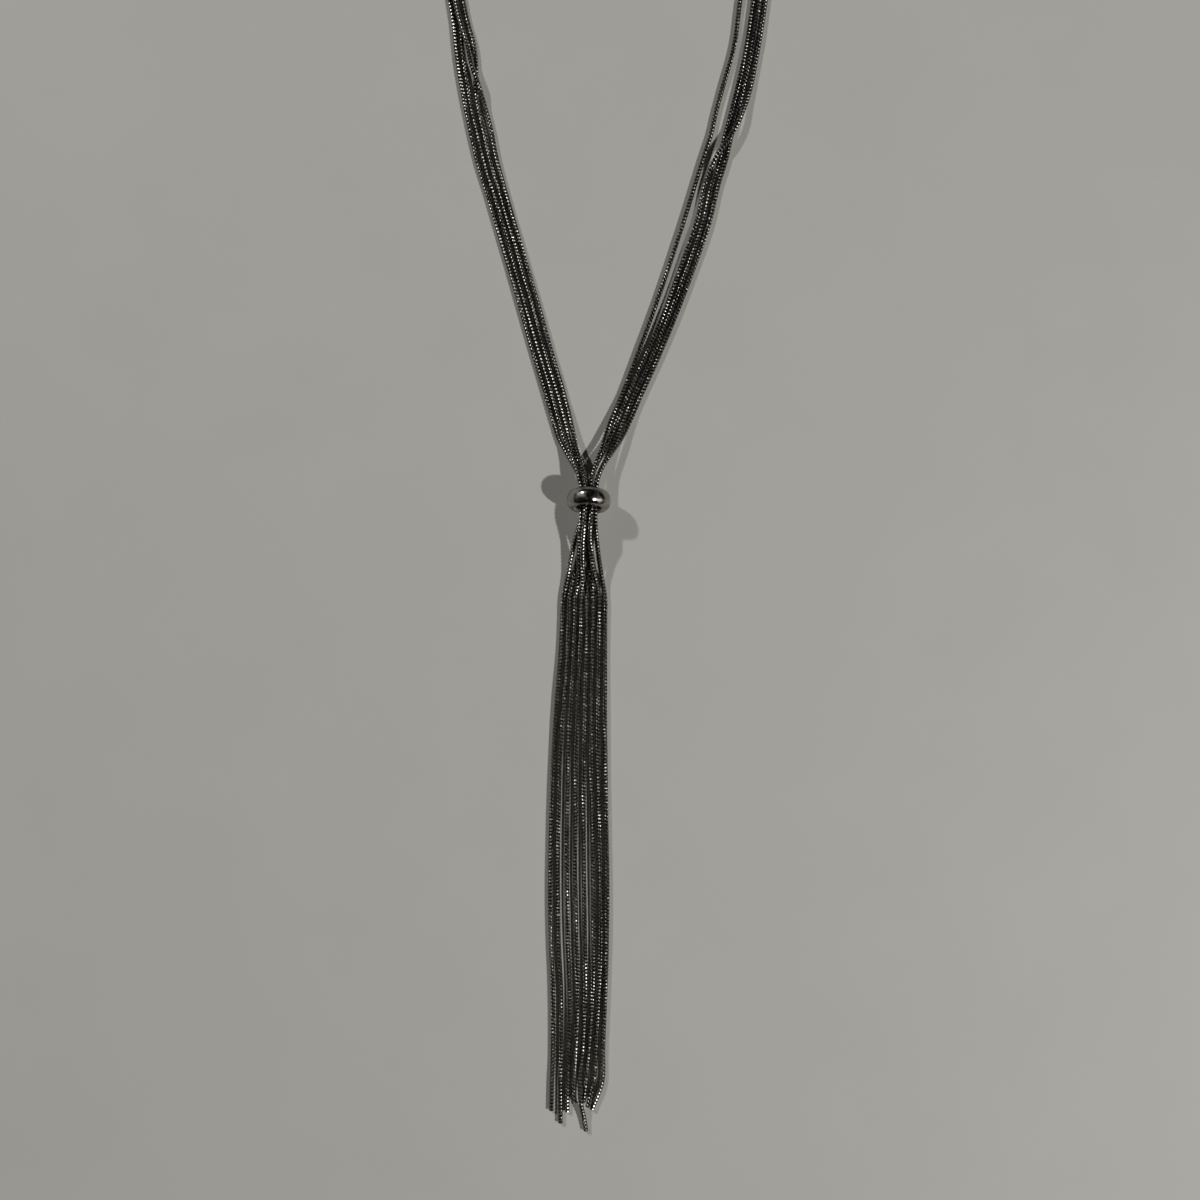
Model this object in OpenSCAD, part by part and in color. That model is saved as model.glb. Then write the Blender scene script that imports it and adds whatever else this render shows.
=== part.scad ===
// Lariat necklace: two legs of four round snake chains run through one ring bead into a tassel
// of eight free ends, and meet in a barrel clasp at the back of the loop. It lies flat.
// Millimetres. X is across, +Y runs up the loop from the ring bead, Z is up from the surface.
// The origin is the point of the surface under the middle of the ring bead.

/* [Chain] */
// Outside diameter of every round snake chain
chain_d = 1.2; // [0.9:0.05:1.2]
// Place of a chain from its neighbour's, middle to middle, where chains lie side by side
chain_pitch = 1.3; // [1.3:0.05:1.4]

/* [Ring bead] */
// Outside diameter of the ring bead
ring_d = 9.5; // [9.1:0.1:9.8]
// Width of the ring bead along its hole
ring_w = 3.9; // [3.4:0.1:4.2]
// Diameter of the hole that all eight chains run through
ring_hole_d = 4.4; // [4.4:0.1:4.6]
// Lean of the ring bead: its tassel side looks up by this angle
ring_lean = 14; // [12:1:16]
// Turn of the ring bead on the surface
ring_turn = -2; // [-3:0.5:0]

/* [Loop] */
// Radius of the round end of the loop, to the middle of the four chains
loop_r = 40; // [38:0.5:42]
// Middle of the round end of the loop, across
loop_x = 3.5; // [3:0.1:4]
// Middle of the round end of the loop, up from the ring bead
loop_y = 159; // [157:1:161]
// Angle that each leg still spreads by where the round end starts
loop_spread = 10; // [9:0.5:11]

/* [Clasp] */
// Outside diameter of the barrel clasp
clasp_d = 4.8; // [4.6:0.1:5.2]
// Length of the barrel clasp
clasp_len = 14; // [12:0.5:15]
// Diameter of the socket at each end of the clasp
socket_d = 3.4; // [3.3:0.05:3.6]
// Depth of each socket
socket_deep = 3.2; // [3:0.1:4]
// Chamfer around the ends of the clasp
clasp_edge = 0.4; // [0.2:0.05:0.5]

/* [Hidden] */

// Corners of a chain's cross section, and the longest stretch between two of its rings
chain_sides = 8;
ring_step = 9;
// Height of the middle of a chain that lies on the surface
LOW = chain_d / 2;
// Places across a flat band of four chains
FLAT = [-1.5 * chain_pitch, -0.5 * chain_pitch, 0.5 * chain_pitch, 1.5 * chain_pitch];
LAID = [LOW, LOW, LOW, LOW];

// Section of the ring bead: an oval between the hole and the outside
ring_mid_r = (ring_d + ring_hole_d) / 4;
ring_thick = (ring_d - ring_hole_d) / 2;
ring_points = 40;
// Height of the middle of the leaning ring bead, which touches the surface with its lowest point
ring_z = ring_mid_r * cos(ring_lean)
    + norm([ring_thick / 2 * cos(ring_lean), ring_w / 2 * sin(ring_lean)]);

// Depths along the hole at which a chain runs straight through it
hole_stops = [1.8, 0.6, -0.6, -1.8];

// Places of the eight chains in the hole, seven around one: across, and up from its middle
TOP_LEFT = [-0.65, 1.35];
TOP_RIGHT = [0.65, 1.35];
SIDE_LEFT = [-1.46, 0.33];
SIDE_RIGHT = [1.46, 0.33];
LOW_LEFT = [-1.17, -0.94];
LOW_RIGHT = [1.17, -0.94];
BOTTOM = [0, -1.5];
MIDDLE = [0, 0];

// Sections of the left leg, from the ring bead up: x and y of its middle, its heading in degrees
// left of +Y, then the places across and the heights of chains 1, 2, 3 and 4
left_sections = [
    [-1.35, 5.0, 18, [-0.5, -0.7, 0.75, 0.4], [2.7, 4.1, 3.45, 4.85]],
    [-2.5, 8.0, 21, [-0.85, -0.5, 0.5, 0.85], [1.9, 3.3, 2.25, 3.65]],
    [-3.8, 11.0, 21, [-1.2, -0.4, 0.4, 1.2], [1.35, 2.45, 1.4, 2.5]],
    [-4.9, 14.0, 18, [-1.65, -0.55, 0.55, 1.65], [0.8, 1.6, 0.8, 1.6]],
    [-6.0, 18.0, 16, [-1.85, -0.65, 0.6, 1.85], [LOW, 1.1, LOW, 1.05]],
    [-7.35, 23, 16, FLAT, LAID],
    [-10.3, 33, 16, FLAT, LAID],
    [-13.4, 44, 16, FLAT, LAID],
    [-16.6, 55, 16, FLAT, LAID],
    [-19.8, 66, 16, FLAT, LAID],
    [-22.1, 74, 14, [-2.1, -0.7, 0.7, 2.1], LAID],
    [-23.7, 81, 13, [-2.1, -0.7, 0.65, 2.3], LAID],
    [-24.85, 86, 11, [-2.0, -0.7, 0.65, 2.1], [LOW, LOW, LOW, 1.0]],
    [-25.6, 90.5, 9, [-2.1, -0.75, 0.95, 1.6], [LOW, LOW, LOW, 1.9]],
    [-26.3, 94.5, 9, [-2.1, -0.8, 1.75, 0.9], [LOW, LOW, LOW, 1.9]],
    [-27.0, 99, 10, [-1.95, -0.6, 1.95, 0.6], [LOW, LOW, LOW, 1.6]],
    [-27.9, 104, 10, [-1.5, -0.15, 1.5, 0.0], [LOW, LOW, LOW, 1.9]],
    [-28.9, 109.5, 10, [-1.4, -0.05, 1.4, -0.3], [LOW, LOW, LOW, 1.9]],
    [-30.1, 117, 10, [-1.8, 0.5, 1.8, -0.6], [LOW, LOW, LOW, 1.6]],
    [-31.4, 125, 10, [-1.95, 0.65, 1.95, -0.65], LAID]
];

// Sections of the right leg, with the same columns
right_sections = [
    [1.25, 5.0, -20, [-0.55, -0.6, 0.6, 0.7], [4.6, 2.2, 2.75, 4.1]],
    [2.4, 8.0, -24, [-0.75, -0.65, 0.65, 0.75], [3.3, 1.85, 1.85, 3.2]],
    [3.9, 11.0, -25, [-1.15, -0.65, 0.65, 1.15], [2.35, 1.1, 1.1, 2.35]],
    [5.3, 14.0, -24, [-1.7, -0.65, 0.65, 1.7], [1.5, 0.7, 0.7, 1.5]],
    [7.0, 18.0, -23, [-1.95, -0.65, 0.65, 1.95], [0.85, LOW, LOW, 0.8]],
    [9.15, 23, -23, FLAT, LAID],
    [12.6, 31, -23, [-2.3, -0.55, 0.8, 2.1], LAID],
    [16.3, 40, -22, [-2.65, -0.4, 0.9, 2.2], LAID],
    [20.4, 51, -20, [-2.9, -0.4, 0.95, 2.3], LAID],
    [24.1, 62, -18, [-3.05, -0.35, 1.05, 2.35], LAID],
    [26.15, 70, -18, [-2.65, -0.55, 0.9, 2.2], LAID],
    [27.9, 75, -18, [-2.8, -0.1, 0.65, 2.0], [LOW, 1.8, LOW, LOW]],
    [28.9, 79, -16, [-2.5, 1.5, 0.55, 1.9], [LOW, 2.0, LOW, LOW]],
    [30.1, 83.5, -15, [-2.7, 2.6, 0.55, 1.9], [LOW, 1.8, LOW, LOW]],
    [31.2, 88, -14, [-2.6, 3.2, 0.6, 1.9], [LOW, 1.0, LOW, LOW]],
    [33.7, 98.5, -12, [-2.2, 3.05, 0.45, 1.75], LAID],
    [35.5, 109.5, -9, [-2.5, 2.95, 0.3, 1.65], LAID],
    [37.6, 120, -9, [-2.0, 2.25, -0.4, 0.9], LAID],
    [39.7, 132, -9, [-1.95, 1.95, -0.65, 0.65], LAID]
];

// The four chains gather in front of the clasp: the angles before the top of the round end at
// which they do, and their places across and heights above a laid chain, lane by lane
gather_turns = [28, 22, 15.5];
gather_across = [
    FLAT,
    [-1.75, -0.6, 0.6, 1.75],
    [-1.15, -0.45, 0.45, 1.15]
];
gather_heights = [
    [0, 0, 0, 0],
    [0, 0.65, 0, 0.65],
    [0.4, 1.55, 0.4, 1.55]
];
// Places of the four chain ends in a clasp socket, lane by lane, and their gap to its bottom
socket_across = [-0.65, -0.65, 0.65, 0.65];
socket_heights = [-0.65, 0.65, -0.65, 0.65];
socket_gap = 0.2;
// The clasp is straight, so its middle lies a little inside the round end
clasp_inset = 0.2;
clasp_y = loop_y + loop_r - clasp_inset;
// Angles of the round end at which it has a section, from the spread legs to its top
round_turns = [loop_spread, -5, -20, -35, -50];
// Lane of each chain in the band around the loop, by chain number
left_lanes = [0, 2, 3, 1];
right_lanes = [0, 3, 1, 2];

// Sections of the tassel from the ring bead down: y, then x and height of the eight ends,
// from left to right
tassel_rise = [
    [-5.0, [-2.0, -0.4, -1.75, -0.95, 1.0, -0.3, 0.35, 1.4],
        [4.3, 3.75, 5.6, 6.65, 4.35, 5.25, 6.65, 5.65]],
    [-8.5, [-3.0, -1.4, -2.0, -1.3, 0.65, -0.4, 0.2, 1.7],
        [3.0, 2.4, 4.25, 5.4, 2.9, 4.1, 5.4, 4.35]],
    [-12, [-3.8, -2.45, -2.2, -1.4, 0.15, -0.2, 0.75, 2.1],
        [1.9, 1.1, 2.95, 4.05, 1.45, 2.95, 4.1, 2.95]],
    [-16, [-4.6, -3.3, -2.15, -1.3, -0.6, 0.3, 1.25, 2.7],
        [0.9, LOW, 1.5, 2.5, LOW, 1.75, 2.75, 1.5]],
    [-21, [-5.6, -4.3, -3.0, -1.7, -0.45, 0.9, 2.2, 3.5],
        [LOW, LOW, LOW, 1.0, LOW, LOW, 1.1, LOW]]
];
// Sections of the tassel on the surface: y, then x of the eight ends
tassel_flat = [
    [-26, [-5.8, -4.45, -3.1, -1.8, -0.5, 0.85, 2.15, 3.5]],
    [-32, [-6.1, -4.7, -3.35, -2.0, -0.65, 0.7, 2.05, 3.45]],
    [-43, [-7.0, -5.5, -3.9, -2.45, -0.9, 0.5, 1.95, 3.45]],
    [-56, [-7.75, -6.35, -4.55, -2.85, -1.15, 0.5, 1.95, 3.55]],
    [-69, [-8.2, -6.65, -4.75, -2.95, -1.2, 0.65, 2.2, 3.75]],
    [-82, [-8.45, -6.8, -4.85, -3.0, -1.1, 0.85, 2.5, 3.95]],
    [-95, [-8.3, -6.6, -4.6, -2.8, -0.95, 0.95, 2.55, 3.9]],
    [-108, [-7.85, -6.1, -4.2, -2.5, -0.85, 0.75, 2.15, 3.5]],
    [-119.5, [-7.85, -6.1, -4.4, -2.9, -1.4, -0.05, 1.45, 3.05]]
];
// Last points of the eight ends
tassel_ends = [
    [[-8.1, -126.5, LOW], [-8.2, -132.5, LOW]],
    [[-6.2, -126.5, LOW], [-6.2, -135.2, LOW]],
    [[-4.65, -126.5, LOW], [-4.8, -132.8, LOW]],
    [[-3.3, -126.5, LOW], [-3.4, -130.1, LOW]],
    [[-2.0, -126.5, 1.3], [-1.75, -130.5, 1.85], [-1.1, -134, 1.0], [-0.65, -136.9, LOW]],
    [[-0.75, -126.5, LOW], [-1.2, -130.6, LOW]],
    [[1.0, -126.5, LOW], [-0.3, -131.5, 1.6]],
    [[2.8, -126.5, LOW], [0.55, -132.3, LOW]]
];

// Which place in the hole and which end of the tassel each chain leads to, by chain number
left_slots = [LOW_LEFT, SIDE_LEFT, MIDDLE, TOP_LEFT];
left_ends = [0, 2, 5, 3];
right_slots = [TOP_RIGHT, BOTTOM, LOW_RIGHT, SIDE_RIGHT];
right_ends = [6, 1, 4, 7];

// Point of a bundle's cross section: its middle, heading, place across and height
function section_point(x, y, heading, across, height) =
    [x + across * cos(heading), y + across * sin(heading), height];

// Point of the leaning ring bead's hole, at a depth towards the legs and a place in the hole
function hole_point(slot, deep) =
    let (
        y = deep * cos(ring_lean) + slot[1] * sin(ring_lean),
        z = ring_z - deep * sin(ring_lean) + slot[1] * cos(ring_lean)
    )
    [slot[0] * cos(ring_turn) - y * sin(ring_turn), slot[0] * sin(ring_turn) + y * cos(ring_turn), z];

// Point of the round end of the loop: side is 1 on the right and -1 on the left, and turn is the
// heading in degrees away from the middle line
function round_point(side, turn, across, height) =
    section_point(
        loop_x + side * loop_r * cos(turn), loop_y - loop_r * sin(turn), -side * turn,
        across, height
    );

// Route of a chain down the tassel, from the ring bead to its free end
function tassel_route(end) = concat(
    [for (row = tassel_rise) [row[1][end], row[0], row[2][end]]],
    [for (row = tassel_flat) [row[1][end], row[0], LOW]],
    tassel_ends[end]
);

// Route of a chain around the loop, from the end of its leg into the clasp
function loop_route(side, lane) = concat(
    [for (turn = round_turns) round_point(side, turn, FLAT[lane], LOW)],
    [for (i = [0:len(gather_turns) - 1])
        round_point(side, gather_turns[i] - 90, gather_across[i][lane], LOW + gather_heights[i][lane])],
    [for (deep = [0, socket_deep - socket_gap])
        [loop_x + side * (clasp_len / 2 - deep), clasp_y + side * socket_across[lane],
            clasp_d / 2 + socket_heights[lane]]]
);

function reversed(list) = [for (i = [len(list) - 1:-1:0]) list[i]];

// Whole route of one chain, from its free end to the clasp
function chain_route(side, sections, number, slot, end, lane) = concat(
    reversed(tassel_route(end)),
    [for (i = [len(hole_stops) - 1:-1:0]) hole_point(slot, hole_stops[i])],
    [for (row = sections)
        section_point(row[0], row[1], row[2], row[3][number], row[4][number])],
    loop_route(side, lane)
);

// Unit direction of a smooth curve through a list of points, at one of them. It is level where
// the route turns from rising to falling or meets a level stretch.
function direction_at(points, i) =
    let (
        last = len(points) - 1,
        before = points[max(i, 1)] - points[max(i, 1) - 1],
        after = points[min(i, last - 1) + 1] - points[min(i, last - 1)],
        mean = before * norm(after) / norm(before) + after * norm(before) / norm(after),
        rise = before[2] * after[2] > 0 ? mean[2] : 0,
        along = [mean[0], mean[1], rise]
    )
    along / norm(along);

// Point between two points of the curve, at a share t of the way
function curve_point(a, b, dir_a, dir_b, t) =
    let (reach = norm(b - a))
    a * (2 * t ^ 3 - 3 * t ^ 2 + 1) + b * (3 * t ^ 2 - 2 * t ^ 3)
        + dir_a * reach * (t ^ 3 - 2 * t ^ 2 + t) + dir_b * reach * (t ^ 3 - t ^ 2);

// The route with points added, so that no stretch is longer than ring_step
function smooth_route(points) = concat(
    [for (i = [0:len(points) - 2])
        let (steps = ceil(norm(points[i + 1] - points[i]) / ring_step))
        for (k = [0:steps - 1])
            curve_point(points[i], points[i + 1], direction_at(points, i),
                direction_at(points, i + 1), k / steps)],
    [points[len(points) - 1]]
);

// Tube of the chain's outside diameter along a route
module swept_chain(points) {
    rings = [for (i = [0:len(points) - 1])
        let (
            along = direction_at(points, i),
            flat = cross(along, [0, 0, 1]),
            right = flat / norm(flat),
            up = cross(right, along)
        )
        for (k = [0:chain_sides - 1])
            points[i] + chain_d / 2 * (right * sin(360 * k / chain_sides)
                - up * cos(360 * k / chain_sides))];
    last = len(points) - 1;
    walls = [for (i = [0:last - 1], k = [0:chain_sides - 1])
        let (
            a = i * chain_sides + k,
            b = i * chain_sides + (k + 1) % chain_sides
        )
        each [[a, b, b + chain_sides], [a, b + chain_sides, a + chain_sides]]];
    caps = [
        [for (k = [chain_sides - 1:-1:0]) k],
        [for (k = [0:chain_sides - 1]) last * chain_sides + k]
    ];
    polyhedron(rings, concat(walls, caps));
}

module chain(side, sections, number, slot, end, lane) {
    color("silver")
    swept_chain(smooth_route(chain_route(side, sections, number, slot, end, lane)));
}

module left_chain(number) {
    i = number - 1;
    chain(-1, left_sections, i, left_slots[i], left_ends[i], left_lanes[i]);
}

module right_chain(number) {
    i = number - 1;
    chain(1, right_sections, i, right_slots[i], right_ends[i], right_lanes[i]);
}

module ring_bead() {
    color("gainsboro")
    translate([0, 0, ring_z])
    rotate([0, 0, ring_turn])
    rotate([-90 - ring_lean, 0, 0])
    rotate_extrude($fn = 96)
    polygon([for (i = [0:ring_points - 1])
        [ring_mid_r + ring_thick / 2 * cos(360 * i / ring_points),
            ring_w / 2 * sin(360 * i / ring_points)]]);
}

module barrel_clasp() {
    barrel_end = clasp_len / 2;
    socket_end = barrel_end - socket_deep;
    color("gainsboro")
    translate([loop_x, clasp_y, clasp_d / 2])
    rotate([0, 90, 0])
    rotate_extrude($fn = 64)
    polygon([
        [0, -socket_end],
        [socket_d / 2, -socket_end],
        [socket_d / 2, -barrel_end],
        [clasp_d / 2 - clasp_edge, -barrel_end],
        [clasp_d / 2, -barrel_end + clasp_edge],
        [clasp_d / 2, barrel_end - clasp_edge],
        [clasp_d / 2 - clasp_edge, barrel_end],
        [socket_d / 2, barrel_end],
        [socket_d / 2, socket_end],
        [0, socket_end]
    ]);
}

ring_bead();
barrel_clasp();
left_chain(1);  // chain_left_1
left_chain(2);  // chain_left_2
left_chain(3);  // chain_left_3
left_chain(4);  // chain_left_4
right_chain(1);  // chain_right_1
right_chain(2);  // chain_right_2
right_chain(3);  // chain_right_3
right_chain(4);  // chain_right_4
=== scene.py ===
"""Lariat necklace: snake chains, a polished ring bead and a barrel clasp, lying on a pale floor."""

import math
import random

import bmesh
import bpy
from mathutils import Matrix, Vector


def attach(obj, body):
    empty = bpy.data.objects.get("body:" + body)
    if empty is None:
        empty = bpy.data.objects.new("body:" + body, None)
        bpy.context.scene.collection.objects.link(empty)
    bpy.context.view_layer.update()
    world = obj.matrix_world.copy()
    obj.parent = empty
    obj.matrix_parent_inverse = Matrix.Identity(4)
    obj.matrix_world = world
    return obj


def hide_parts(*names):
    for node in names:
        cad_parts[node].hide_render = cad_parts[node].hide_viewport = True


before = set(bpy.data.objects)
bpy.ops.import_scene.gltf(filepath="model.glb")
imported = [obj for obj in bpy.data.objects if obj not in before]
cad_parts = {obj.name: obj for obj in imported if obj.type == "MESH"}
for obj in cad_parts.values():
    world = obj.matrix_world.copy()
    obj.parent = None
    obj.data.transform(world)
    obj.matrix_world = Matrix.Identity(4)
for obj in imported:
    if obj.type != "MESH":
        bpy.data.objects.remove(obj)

bl_info = {
    "name": "Lariat Necklace",
    "version": (1, 0, 0),
    "blender": (4, 5, 0),
    "location": "3D View > Sidebar > Necklace",
    "description": "Builds the snake chains, ring bead and clasp of a lariat necklace",
    "category": "Object",
}

MM = 0.001
BODY = "root"

# The chains' routes repeat the tables of the part's source, in millimetres
CHAIN_D = 1.2
CHAIN_PITCH = 1.3
LOW = CHAIN_D / 2
FLAT = [-1.5 * CHAIN_PITCH, -0.5 * CHAIN_PITCH, 0.5 * CHAIN_PITCH, 1.5 * CHAIN_PITCH]
LAID = [LOW, LOW, LOW, LOW]

# The ring bead: its sizes, how it leans and turns in degrees, and the places along its hole that
# the chains run through
RING_D = 9.5
RING_W = 3.9
RING_HOLE_D = 4.4
RING_LEAN = 14
RING_TURN = -2
RING_MID_R = (RING_D + RING_HOLE_D) / 4
RING_THICK = (RING_D - RING_HOLE_D) / 2
HOLE_STOPS = [1.8, 0.6, -0.6, -1.8]

# The round end of the loop: its radius and middle, and the heading in degrees at which it starts
LOOP_R = 40
LOOP_X = 3.5
LOOP_Y = 159
LOOP_SPREAD = 10

# The clasp and its two sockets, with the gap between their bottoms and the chains' ends, the
# steps around it, and the degrees from which its edges are crisp
CLASP_D = 4.8
CLASP_LEN = 14
CLASP_EDGE = 0.4
CLASP_SEAM = 0.15
CLASP_INSET = 0.2
CLASP_Y = LOOP_Y + LOOP_R - CLASP_INSET
SOCKET_D = 3.4
SOCKET_DEEP = 3.2
SOCKET_GAP = 0.2
CLASP_STEPS = 96
CLASP_CRISP = 30

# Places of the eight chains in the hole, seven around one: across, and up from its middle
TOP_LEFT = (-0.65, 1.35)
TOP_RIGHT = (0.65, 1.35)
SIDE_LEFT = (-1.46, 0.33)
SIDE_RIGHT = (1.46, 0.33)
LOW_LEFT = (-1.17, -0.94)
LOW_RIGHT = (1.17, -0.94)
BOTTOM = (0, -1.5)
MIDDLE = (0, 0)

# Sections of the left leg, from the ring bead up: x and y of its middle, its heading in degrees
# left of +Y, then the places across and the heights of chains 1, 2, 3 and 4
LEFT_SECTIONS = [
    (-1.35, 5.0, 18, [-0.5, -0.7, 0.75, 0.4], [2.7, 4.1, 3.45, 4.85]),
    (-2.5, 8.0, 21, [-0.85, -0.5, 0.5, 0.85], [1.9, 3.3, 2.25, 3.65]),
    (-3.8, 11.0, 21, [-1.2, -0.4, 0.4, 1.2], [1.35, 2.45, 1.4, 2.5]),
    (-4.9, 14.0, 18, [-1.65, -0.55, 0.55, 1.65], [0.8, 1.6, 0.8, 1.6]),
    (-6.0, 18.0, 16, [-1.85, -0.65, 0.6, 1.85], [LOW, 1.1, LOW, 1.05]),
    (-7.35, 23, 16, FLAT, LAID),
    (-10.3, 33, 16, FLAT, LAID),
    (-13.4, 44, 16, FLAT, LAID),
    (-16.6, 55, 16, FLAT, LAID),
    (-19.8, 66, 16, FLAT, LAID),
    (-22.1, 74, 14, [-2.1, -0.7, 0.7, 2.1], LAID),
    (-23.7, 81, 13, [-2.1, -0.7, 0.65, 2.3], LAID),
    (-24.85, 86, 11, [-2.0, -0.7, 0.65, 2.1], [LOW, LOW, LOW, 1.0]),
    (-25.6, 90.5, 9, [-2.1, -0.75, 0.95, 1.6], [LOW, LOW, LOW, 1.9]),
    (-26.3, 94.5, 9, [-2.1, -0.8, 1.75, 0.9], [LOW, LOW, LOW, 1.9]),
    (-27.0, 99, 10, [-1.95, -0.6, 1.95, 0.6], [LOW, LOW, LOW, 1.6]),
    (-27.9, 104, 10, [-1.5, -0.15, 1.5, 0.0], [LOW, LOW, LOW, 1.9]),
    (-28.9, 109.5, 10, [-1.4, -0.05, 1.4, -0.3], [LOW, LOW, LOW, 1.9]),
    (-30.1, 117, 10, [-1.8, 0.5, 1.8, -0.6], [LOW, LOW, LOW, 1.6]),
    (-31.4, 125, 10, [-1.95, 0.65, 1.95, -0.65], LAID),
]

# Sections of the right leg, with the same columns
RIGHT_SECTIONS = [
    (1.25, 5.0, -20, [-0.55, -0.6, 0.6, 0.7], [4.6, 2.2, 2.75, 4.1]),
    (2.4, 8.0, -24, [-0.75, -0.65, 0.65, 0.75], [3.3, 1.85, 1.85, 3.2]),
    (3.9, 11.0, -25, [-1.15, -0.65, 0.65, 1.15], [2.35, 1.1, 1.1, 2.35]),
    (5.3, 14.0, -24, [-1.7, -0.65, 0.65, 1.7], [1.5, 0.7, 0.7, 1.5]),
    (7.0, 18.0, -23, [-1.95, -0.65, 0.65, 1.95], [0.85, LOW, LOW, 0.8]),
    (9.15, 23, -23, FLAT, LAID),
    (12.6, 31, -23, [-2.3, -0.55, 0.8, 2.1], LAID),
    (16.3, 40, -22, [-2.65, -0.4, 0.9, 2.2], LAID),
    (20.4, 51, -20, [-2.9, -0.4, 0.95, 2.3], LAID),
    (24.1, 62, -18, [-3.05, -0.35, 1.05, 2.35], LAID),
    (26.15, 70, -18, [-2.65, -0.55, 0.9, 2.2], LAID),
    (27.9, 75, -18, [-2.8, -0.1, 0.65, 2.0], [LOW, 1.8, LOW, LOW]),
    (28.9, 79, -16, [-2.5, 1.5, 0.55, 1.9], [LOW, 2.0, LOW, LOW]),
    (30.1, 83.5, -15, [-2.7, 2.6, 0.55, 1.9], [LOW, 1.8, LOW, LOW]),
    (31.2, 88, -14, [-2.6, 3.2, 0.6, 1.9], [LOW, 1.0, LOW, LOW]),
    (33.7, 98.5, -12, [-2.2, 3.05, 0.45, 1.75], LAID),
    (35.5, 109.5, -9, [-2.5, 2.95, 0.3, 1.65], LAID),
    (37.6, 120, -9, [-2.0, 2.25, -0.4, 0.9], LAID),
    (39.7, 132, -9, [-1.95, 1.95, -0.65, 0.65], LAID),
]

# The four chains gather in front of the clasp: the angles before the top of the round end at
# which they do, and their places across and heights above a laid chain, lane by lane
GATHER_TURNS = [28, 22, 15.5]
GATHER_ACROSS = [FLAT, [-1.75, -0.6, 0.6, 1.75], [-1.15, -0.45, 0.45, 1.15]]
GATHER_HEIGHTS = [[0, 0, 0, 0], [0, 0.65, 0, 0.65], [0.4, 1.55, 0.4, 1.55]]
SOCKET_ACROSS = [-0.65, -0.65, 0.65, 0.65]
SOCKET_HEIGHTS = [-0.65, 0.65, -0.65, 0.65]
ROUND_TURNS = [LOOP_SPREAD, -5, -20, -35, -50]

# Sections of the tassel from the ring bead down: y, then x and height of the eight ends
TASSEL_RISE = [
    (-5.0, [-2.0, -0.4, -1.75, -0.95, 1.0, -0.3, 0.35, 1.4],
        [4.3, 3.75, 5.6, 6.65, 4.35, 5.25, 6.65, 5.65]),
    (-8.5, [-3.0, -1.4, -2.0, -1.3, 0.65, -0.4, 0.2, 1.7],
        [3.0, 2.4, 4.25, 5.4, 2.9, 4.1, 5.4, 4.35]),
    (-12, [-3.8, -2.45, -2.2, -1.4, 0.15, -0.2, 0.75, 2.1],
        [1.9, 1.1, 2.95, 4.05, 1.45, 2.95, 4.1, 2.95]),
    (-16, [-4.6, -3.3, -2.15, -1.3, -0.6, 0.3, 1.25, 2.7],
        [0.9, LOW, 1.5, 2.5, LOW, 1.75, 2.75, 1.5]),
    (-21, [-5.6, -4.3, -3.0, -1.7, -0.45, 0.9, 2.2, 3.5],
        [LOW, LOW, LOW, 1.0, LOW, LOW, 1.1, LOW]),
]
# Sections of the tassel on the surface: y, then x of the eight ends
TASSEL_FLAT = [
    (-26, [-5.8, -4.45, -3.1, -1.8, -0.5, 0.85, 2.15, 3.5]),
    (-32, [-6.1, -4.7, -3.35, -2.0, -0.65, 0.7, 2.05, 3.45]),
    (-43, [-7.0, -5.5, -3.9, -2.45, -0.9, 0.5, 1.95, 3.45]),
    (-56, [-7.75, -6.35, -4.55, -2.85, -1.15, 0.5, 1.95, 3.55]),
    (-69, [-8.2, -6.65, -4.75, -2.95, -1.2, 0.65, 2.2, 3.75]),
    (-82, [-8.45, -6.8, -4.85, -3.0, -1.1, 0.85, 2.5, 3.95]),
    (-95, [-8.3, -6.6, -4.6, -2.8, -0.95, 0.95, 2.55, 3.9]),
    (-108, [-7.85, -6.1, -4.2, -2.5, -0.85, 0.75, 2.15, 3.5]),
    (-119.5, [-7.85, -6.1, -4.4, -2.9, -1.4, -0.05, 1.45, 3.05]),
]
# Last points of the eight ends
TASSEL_ENDS = [
    [(-8.1, -126.5, LOW), (-8.2, -132.5, LOW)],
    [(-6.2, -126.5, LOW), (-6.2, -135.2, LOW)],
    [(-4.65, -126.5, LOW), (-4.8, -132.8, LOW)],
    [(-3.3, -126.5, LOW), (-3.4, -130.1, LOW)],
    [(-2.0, -126.5, 1.3), (-1.75, -130.5, 1.85), (-1.1, -134, 1.0), (-0.65, -136.9, LOW)],
    [(-0.75, -126.5, LOW), (-1.2, -130.6, LOW)],
    [(1.0, -126.5, LOW), (-0.3, -131.5, 1.6)],
    [(2.8, -126.5, LOW), (0.55, -132.3, LOW)],
]

# Of each leg: its side, its sections, and each chain's place in the hole, end of the tassel and
# lane around the loop
LEGS = {
    "left": (-1, LEFT_SECTIONS, [LOW_LEFT, SIDE_LEFT, MIDDLE, TOP_LEFT], [0, 2, 5, 3], [0, 2, 3, 1]),
    "right": (1, RIGHT_SECTIONS, [TOP_RIGHT, BOTTOM, LOW_RIGHT, SIDE_RIGHT], [6, 1, 4, 7],
        [0, 3, 1, 2]),
}
CHAINS_PER_LEG = 4

# Steps of a route's curve between two of its points
CURVE_STEPS = 24

# The links of most chains are 0.7 mm apart, and those of the finest 0.5 mm. Both are too fine to
# show well in the render, so all links are drawn a little coarser.
LINK_PITCH = 0.76

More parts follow.
